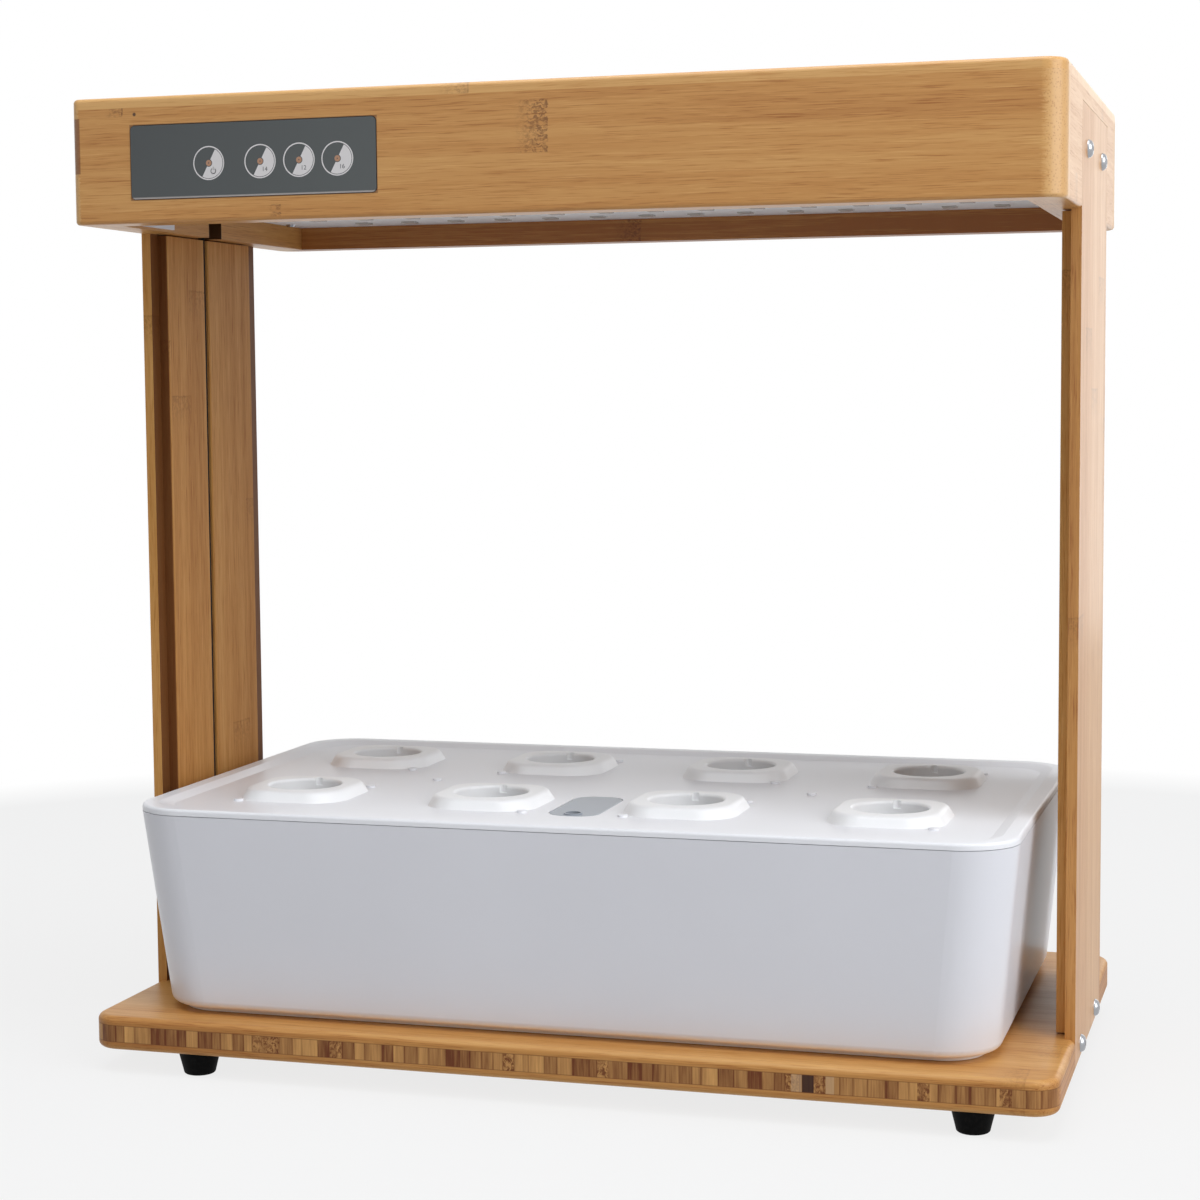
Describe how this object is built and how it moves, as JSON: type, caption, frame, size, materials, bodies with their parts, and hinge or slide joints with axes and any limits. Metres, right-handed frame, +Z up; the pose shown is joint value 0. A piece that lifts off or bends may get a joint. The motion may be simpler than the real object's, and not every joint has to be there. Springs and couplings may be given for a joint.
{
  "type": "countertop hydroponic garden",
  "caption": "Bamboo stand holding a light box with touch controls over a white water tank whose lid carries round planting cups in square collars.",
  "frame": {"origin": "middle of the stand's footprint on the counter", "axes": "+X to the right seen from the front, +Y to the back, +Z up"},
  "size_m": [0.4546, 0.248, 0.452],
  "materials": {
    "bamboo": "clear satin lacquer on laminated bamboo",
    "foot_rubber": "matt",
    "screw_steel": "polished",
    "light_plate": "white, satin",
    "led_lens": "pale, glossy",
    "panel_grey": "smooth, half gloss",
    "circuit": "solder mask",
    "spring_metal": "bare",
    "white_plastic": "smooth, soft gloss",
    "pod_plastic": "slightly translucent",
    "filler_grey": "smooth",
    "lead_jacket": "matt",
    "black_plastic": "smooth"
  },
  "bodies": {
    "stand": {"base_board": "bamboo", "foot_front_left": "foot_rubber", "foot_front_right": "foot_rubber", "foot_rear_left": "foot_rubber", "foot_rear_right": "foot_rubber", "foot_screws": "screw_steel", "post_plank_left": "bamboo", "inner_plank_left_front": "bamboo", "inner_plank_left_back": "bamboo", "base_screws_left": "screw_steel", "box_screws_left": "screw_steel", "box_left_board": "bamboo", "panel_cleat_left": "bamboo", "post_plank_right": "bamboo", "inner_plank_right_front": "bamboo", "inner_plank_right_back": "bamboo", "base_screws_right": "screw_steel", "box_screws_right": "screw_steel", "box_right_board": "bamboo", "panel_cleat_right": "bamboo", "box_front_board": "bamboo", "box_back_board": "bamboo", "box_top_panel": "bamboo", "light_panel": "light_plate", "led_chips": "led_lens", "light_panel_screws": "screw_steel", "control_panel": "panel_grey", "control_board": "circuit", "touch_springs": "spring_metal", "wire_cover": "white_plastic", "power_lead": "lead_jacket", "power_inlet": "black_plastic"},
    "tank": {"tank": "white_plastic"},
    "lid": {"tank_lid": "white_plastic"},
    "filler": {"filler_cover": "filler_grey"},
    "pod_front_1": {"pod_collar_front_1": "pod_plastic", "basket_front_1": "pod_plastic"},
    "pod_front_2": {"pod_collar_front_2": "pod_plastic", "basket_front_2": "pod_plastic"},
    "pod_front_3": {"pod_collar_front_3": "pod_plastic", "basket_front_3": "pod_plastic"},
    "pod_front_4": {"pod_collar_front_4": "pod_plastic", "basket_front_4": "pod_plastic"},
    "pod_back_1": {"pod_collar_back_1": "pod_plastic", "basket_back_1": "pod_plastic"},
    "pod_back_2": {"pod_collar_back_2": "pod_plastic", "basket_back_2": "pod_plastic"},
    "pod_back_3": {"pod_collar_back_3": "pod_plastic", "basket_back_3": "pod_plastic"},
    "pod_back_4": {"pod_collar_back_4": "pod_plastic", "basket_back_4": "pod_plastic"}
  },
  "joints": [
    {"name": "tank_pull_out", "type": "slide", "parent": "stand", "child": "tank", "axis": [0, -1, 0], "range_m": [0, 0.25]},
    {"name": "lid_lift", "type": "slide", "parent": "tank", "child": "lid", "axis": [0, 0, 1], "range_m": [0, 0.12]},
    {"name": "filler_lift", "type": "slide", "parent": "lid", "child": "filler", "axis": [0, 0, 1], "range_m": [0, 0.03]},
    {"name": "pod_front_1_lift", "type": "slide", "parent": "lid", "child": "pod_front_1", "axis": [0, 0, 1], "range_m": [0, 0.06]},
    {"name": "pod_front_2_lift", "type": "slide", "parent": "lid", "child": "pod_front_2", "axis": [0, 0, 1], "range_m": [0, 0.06]},
    {"name": "pod_front_3_lift", "type": "slide", "parent": "lid", "child": "pod_front_3", "axis": [0, 0, 1], "range_m": [0, 0.06]},
    {"name": "pod_front_4_lift", "type": "slide", "parent": "lid", "child": "pod_front_4", "axis": [0, 0, 1], "range_m": [0, 0.06]},
    {"name": "pod_back_1_lift", "type": "slide", "parent": "lid", "child": "pod_back_1", "axis": [0, 0, 1], "range_m": [0, 0.06]},
    {"name": "pod_back_2_lift", "type": "slide", "parent": "lid", "child": "pod_back_2", "axis": [0, 0, 1], "range_m": [0, 0.06]},
    {"name": "pod_back_3_lift", "type": "slide", "parent": "lid", "child": "pod_back_3", "axis": [0, 0, 1], "range_m": [0, 0.06]},
    {"name": "pod_back_4_lift", "type": "slide", "parent": "lid", "child": "pod_back_4", "axis": [0, 0, 1], "range_m": [0, 0.06]}
  ]
}
